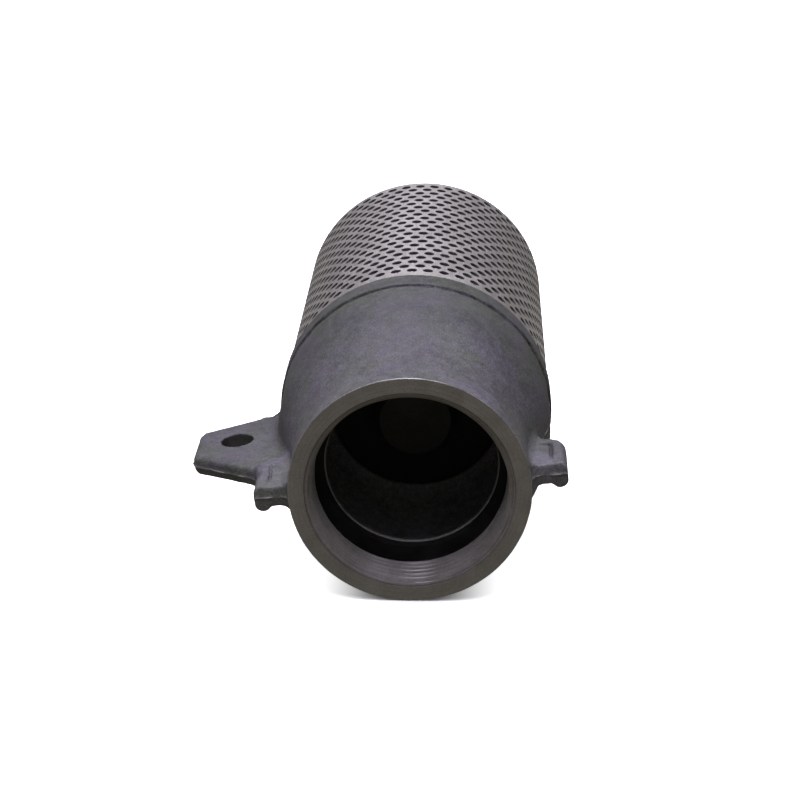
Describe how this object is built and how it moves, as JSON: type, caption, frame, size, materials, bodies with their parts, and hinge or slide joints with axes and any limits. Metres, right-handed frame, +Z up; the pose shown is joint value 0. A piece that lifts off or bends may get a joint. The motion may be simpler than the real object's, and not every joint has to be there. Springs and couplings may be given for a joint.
{
  "type": "foot valve",
  "caption": "Screwed flap-type foot valve: cast socket with wrench lugs and a lifting ear, hinged rubber-faced flap inside, and a long perforated strainer tube.",
  "frame": {"origin": "centre of the socket's mouth face, on the valve's axis; the thread's wall starts 1 mm behind it, after the countersink", "axes": "+Y along the valve's axis from the mouth to the end of the strainer, +Z up through the flap's hinge, +X away from the lifting ear; -Y is the way the pipe leaves"},
  "size_m": [0.1125, 0.1734, 0.0848],
  "materials": {
    "iron": "sand cast, dull dark grey coating; machined mouth, thread and bore",
    "washer_rubber": "moulded, matte",
    "gasket_fibre": "flat compressed gasket sheet",
    "ring_iron": "turned, dull",
    "spring_steel": "stamped, oiled black",
    "bracket_steel": "pressed sheet",
    "screw_steel": "bright",
    "pin_steel": "ground",
    "bronze": "flat washers",
    "arm_iron": "cast, dull",
    "flap_rubber": "moulded, matte",
    "strainer_steel": "thin perforated sheet, plain mill finish",
    "strip_steel": "plain strip behind the seam"
  },
  "bodies": {
    "valve_body": {"body_casting": "iron", "socket_washer": "washer_rubber", "seat_gasket": "gasket_fibre", "seat_ring": "ring_iron", "seat_circlip": "spring_steel", "hinge_bracket": "bracket_steel", "bracket_screws": "screw_steel", "hinge_pin": "pin_steel", "pin_clips": "spring_steel", "hinge_spacers": "bronze", "strainer_tube": "strainer_steel", "strainer_end": "strainer_steel", "seam_strip": "strip_steel"},
    "flap": {"flap_arm": "arm_iron", "arm_bush": "bronze", "flap_disc": "flap_rubber", "flap_weight": "arm_iron", "backing_plate": "bracket_steel", "flap_stud": "screw_steel", "lock_washer": "spring_steel", "flap_nut": "screw_steel"}
  },
  "joints": [
    {"name": "flap_hinge", "type": "hinge", "parent": "valve_body", "child": "flap", "pos_m": [0, 0.062, 0.0305], "axis": [-1, 0, 0], "range_deg": [0, 55]}
  ]
}
